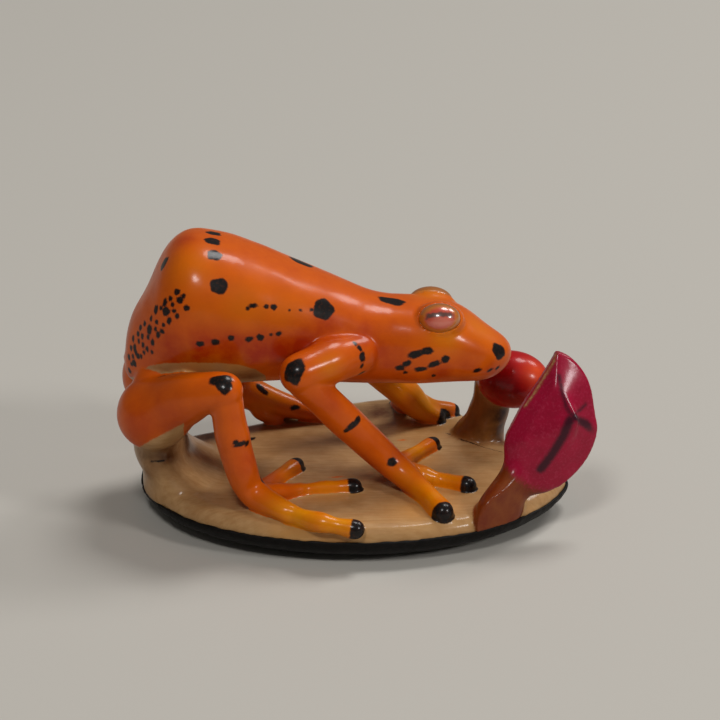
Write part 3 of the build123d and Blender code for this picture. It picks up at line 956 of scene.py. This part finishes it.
    def paint(self) -> None:
        """Inks the marks and lays the soft patches of dye, stains, painted light and painted shade."""
        chance = np.random.default_rng(SEED)
        for mark in BODY_MARKS + JOINT_MARKS:
            place, normal = self.cast((mark.column, mark.row))
            self.press("ink", place, normal, mark)
            if place[1] < -self.ridge:
                match = self.other_side(place, chance.normal(0, self.stray, 3))
                self.press("ink", *match, mark)
        for mark in LIMB_MARKS:
            self.press("ink", *self.cast((mark.column, mark.row)), mark)
        for tip, length in TOE_TIPS:
            gap = np.linalg.norm(self.surface.places - tip, axis=1)
            self.raise_mask("ink", np.minimum(length - gap, self.masks["orange"] + self.tip_bleed))
        for lines, name in ((PETAL_LINES, "vein"), (BASE_LINES, "fleck")):
            for pixels, width in lines:
                self.stroke(name, [self.cast(pixel) for pixel in pixels], width)
        for mark in SMEARS:
            self.press("orange", *self.cast((mark.column, mark.row)), mark)
        pixels, width = RAW_RIM
        self.stroke("raw", [self.cast(pixel) for pixel in pixels], width)
        raw = self.masks.pop("raw")
        for name in ("petal", "stalk"):
            self.masks[name] = np.minimum(self.masks[name], -raw)
        # Washes of yellower dye and painted light, redder dye and painted shade, stains and painted shadow
        for name, patches in (("yellow", YELLOW_DYE_AND_PAINTED_LIGHT), ("red", RED_DYE_AND_PAINTED_SHADE), ("brown", STAINS_AND_PAINTED_SHADOW)):
            total = np.zeros(len(self.surface.places))
            for wash in patches:
                place, _ = self.cast((wash.column, wash.row))
                places = [place]
                if self.owner_at(place) in Form.BODY.value and place[1] < -self.ridge:
                    places.append(self.other_side(place, 0.0)[0])
                for middle in places:
                    gap = np.linalg.norm(self.surface.places - middle, axis=1)
                    total = np.maximum(total, wash.strength * np.exp(-(gap / wash.reach) ** 2))
            self.masks[name] = total

    def owner_at(self, place: Array) -> str:
        """The node whose surface is at a place.

        Args:
            place: a place on the carving in mm.

        Returns:
            Its name.
        """
        _, _, face, _ = self.hull.find_nearest(Vector(place))
        return self.owners[self.face_owner[face]]

    def stroke(self, name: str, hits: list[tuple[Array, Array]], width: float) -> None:
        """Adds a painted line to a mask.

        Args:
            name: the mask.
            hits: the places that it runs through, each with its normal.
            width: its width in mm.
        """
        for (start, normal), (end, _) in zip(hits, hits[1:]):
            run = end - start
            steps = self.surface.places - start
            share = np.clip(steps @ run / run.dot(run), 0, 1)
            gap = np.linalg.norm(steps - share[:, None] * run, axis=1)
            inside = np.minimum(width / 2 - gap, (self.surface.normals @ normal) * FACING)
            self.raise_mask(name, inside)

    def part(self, material: bpy.types.Material) -> None:
        """Parts the carving into one piece for each node.

        Args:
            material: the finish of every piece.
        """
        for form in Form:
            for node in form.value:
                picked = self.surface.faces[self.face_owner == self.owners.index(node)]
                used, faces = np.unique(picked, return_inverse=True)
                faces = faces.reshape(-1, 4).tolist()
                places, normals = self.surface.places[used], self.surface.normals[used]
                piece = write_mesh(node + "_carved", places, faces, normals)
                for name, mask in self.masks.items():
                    layer = piece.data.attributes.new(name, "FLOAT", "POINT")
                    layer.data.foreach_set("value", mask[used].astype(np.float32))
                piece.data.materials.append(material)
                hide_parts(node)
                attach(piece, "root")
                log.info("%s: %d faces", piece.name, len(faces))


@dataclass
class Eye:
    """One glossy dome with its painting, in mm from its middle along and up the dome."""

    node: str
    outward: Triple
    rings: int = 96
    rim_start: float = 0.84  # share of the way from the middle to the edge
    patches: tuple = (
        # name, middle and half size along and up the dome, how steeply its edge falls
        ("iris", 0.0, 0.05, 1.6, 1.15, 1.1),
        ("blush", 0.15, -0.3, 1.1, 0.48, 0.5),
    )
    slit_half: tuple[float, float] = (1.4, 0.24)
    slit_rise: float = 0.5
    slit_bow: float = 0.1  # how far it falls at one mm from its middle
    slit_taper: float = 0.5

    def build(self, material: bpy.types.Material) -> None:
        """Makes the eye in its node's place.

        Args:
            material: its finish.
        """
        low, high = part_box(self.node)
        middle, half = (low + high) / 2, (high - low) / 2
        shape = bmesh.new()
        bmesh.ops.create_uvsphere(shape, u_segments=self.rings, v_segments=self.rings // 2, radius=1)
        for vert in shape.verts:
            vert.co = Vector(a * b for a, b in zip(vert.co, half)) + middle
        for face in shape.faces:
            face.smooth = True
        mesh = bpy.data.meshes.new(self.node + "_painted")
        shape.to_mesh(mesh)
        shape.free()
        piece = bpy.data.objects.new(self.node + "_painted", mesh)
        bpy.context.scene.collection.objects.link(piece)
        places = np.zeros(len(mesh.vertices) * 3)
        mesh.vertices.foreach_get("co", places)
        steps = (places.reshape(-1, 3) - np.array(middle)) / MM
        out = np.array(self.outward) / np.linalg.norm(self.outward)
        up = np.array((0, 0, 1)) - out * out[2]
        up /= np.linalg.norm(up)
        along, rise = steps[:, 0], steps @ up
        facing = steps @ out > 0
        size = half.x / MM
        gap = np.hypot(along / size, rise / (half.z / MM))
        masks = {"rim": (gap - self.rim_start) * size}
        for name, x, y, half_long, half_high, fall in self.patches:
            masks[name] = fall * (1 - np.hypot((along - x) / half_long, (rise - y) / half_high))
        slit_long, slit_wide = self.slit_half
        across = np.abs(rise - self.slit_rise + self.slit_bow * along ** 2)
        ends = (np.abs(along) - slit_long) * self.slit_taper + slit_wide
        masks["slit"] = slit_wide - np.maximum(across, ends)
        for name, mask in masks.items():
            layer = mesh.attributes.new(name, "FLOAT", "POINT")
            layer.data.foreach_set("value", np.where(facing, mask, -1.0).astype(np.float32))
        mesh.materials.append(material)
        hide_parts(self.node)
        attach(piece, "root")
        log.info("%s", piece.name)


@dataclass
class UnderSkin:
    """The shell of seed skin that the base stands in."""

    voxel: float = 0.22  # mm
    passes: int = 3  # of smoothing
    chip_width: float = 1.4  # mm between the chips along its edge
    chip_depth: float = 0.12  # mm
    chip_start: float = 1.0  # mm above the ground where they begin
    chip_rise: float = 1.5  # mm over which they deepen

    def build(self, material: bpy.types.Material) -> None:
        """Makes the skin with its slightly broken edge.

        Args:
            material: its finish.
        """
        surface = Surface(*voxel_skin("under_skin", ("seed_skin",), self.voxel, 0.0))
        surface.smooth(self.passes)
        low = surface.places[:, 2].min()
        chips = np.array([noise.noise(Vector(p) / self.chip_width) for p in surface.places])
        lift = np.clip((surface.places[:, 2] - low - self.chip_start) / self.chip_rise, 0, 1)
        surface.places += surface.normals * (chips * self.chip_depth * lift)[:, None]
        surface.places[:, 2] = np.maximum(surface.places[:, 2], low)
        surface.normals = surface.find_normals()
        piece = write_mesh("seed_skin_shell", surface.places, surface.faces.tolist(), surface.normals)
        piece.data.materials.append(material)
        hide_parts("seed_skin")
        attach(piece, "root")
        log.info("%s: %d faces", piece.name, len(surface.faces))


@dataclass(frozen=True)
class Studio:
    """A pale table under soft lights."""

    floor: str = "BBB6AD"
    backdrop: str = "F2F0EC"
    floor_side: float = 4.0  # m
    floor_roughness: float = 0.8
    aim: Triple = (0.0, 0.0, 0.012)  # m, where all lamps point
    world_strength: float = 0.14
    lights: tuple = (
        # name, place in m, side in m, watts
        ("key", (-0.12, -0.60, 0.72), 0.18, 2.5),
        ("side", (0.68, -0.44, 0.46), 0.16, 2.4),
        ("top", (0.25, 0.30, 0.85), 0.30, 3.0),
        ("rim", (0.50, 0.36, 0.58), 0.26, 1.7),
    )

    def set_up(self) -> None:
        """Lays the floor and hangs the lights."""
        scene = bpy.context.scene
        scene.view_settings.view_transform = "Standard"
        shape = bmesh.new()
        bmesh.ops.create_grid(shape, x_segments=1, y_segments=1, size=self.floor_side / 2)
        mesh = bpy.data.meshes.new("table_top")
        shape.to_mesh(mesh)
        shape.free()
        floor = bpy.data.objects.new("table_top", mesh)
        scene.collection.objects.link(floor)
        floor.location.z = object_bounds()[0][2]
        material, tree = new_material("matt_pale_table")
        shader = add_node(tree, "BsdfPrincipled", {
            "Base Color": linear(self.floor), "Roughness": self.floor_roughness,
        })
        add_node(tree, "OutputMaterial", {"Surface": shader.outputs[0]})
        mesh.materials.append(material)
        floor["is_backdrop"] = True
        world = bpy.data.worlds.new("studio")
        scene.world = world
        world.use_nodes = True
        world.node_tree.nodes.clear()
        light = add_node(
            world.node_tree, "Background", {"Color": linear(self.backdrop), "Strength": self.world_strength}
        )
        add_node(world.node_tree, "OutputWorld", {"Surface": light.outputs[0]})
        for name, place, side, watts in self.lights:
            data = bpy.data.lights.new(name, "AREA")
            data.shape = "DISK"
            data.size = side
            data.energy = watts
            lamp = bpy.data.objects.new(name, data)
            scene.collection.objects.link(lamp)
            lamp.location = place
            lamp.rotation_euler = (Vector(self.aim) - lamp.location).to_track_quat("-Z", "Y").to_euler()


def main() -> None:
    """Builds the figurine in order."""
    logging.basicConfig(level=logging.INFO, format="%(name)s: %(message)s")
    lens = Lens()
    lens.set_up()
    Studio().set_up()
    carving = Carving(lens)
    carving.carve()
    carving.lay_dyes()
    carving.paint()
    carving.part(CarvedNut().material())
    eye_paint = PaintedEye().material()
    Eye("right_eye", (0.1, -1.0, 0.35)).build(eye_paint)
    Eye("left_eye", (0.1, 1.0, 0.35)).build(eye_paint)
    UnderSkin().build(SeedSkin().material())


if __name__ == "__main__":
    main()
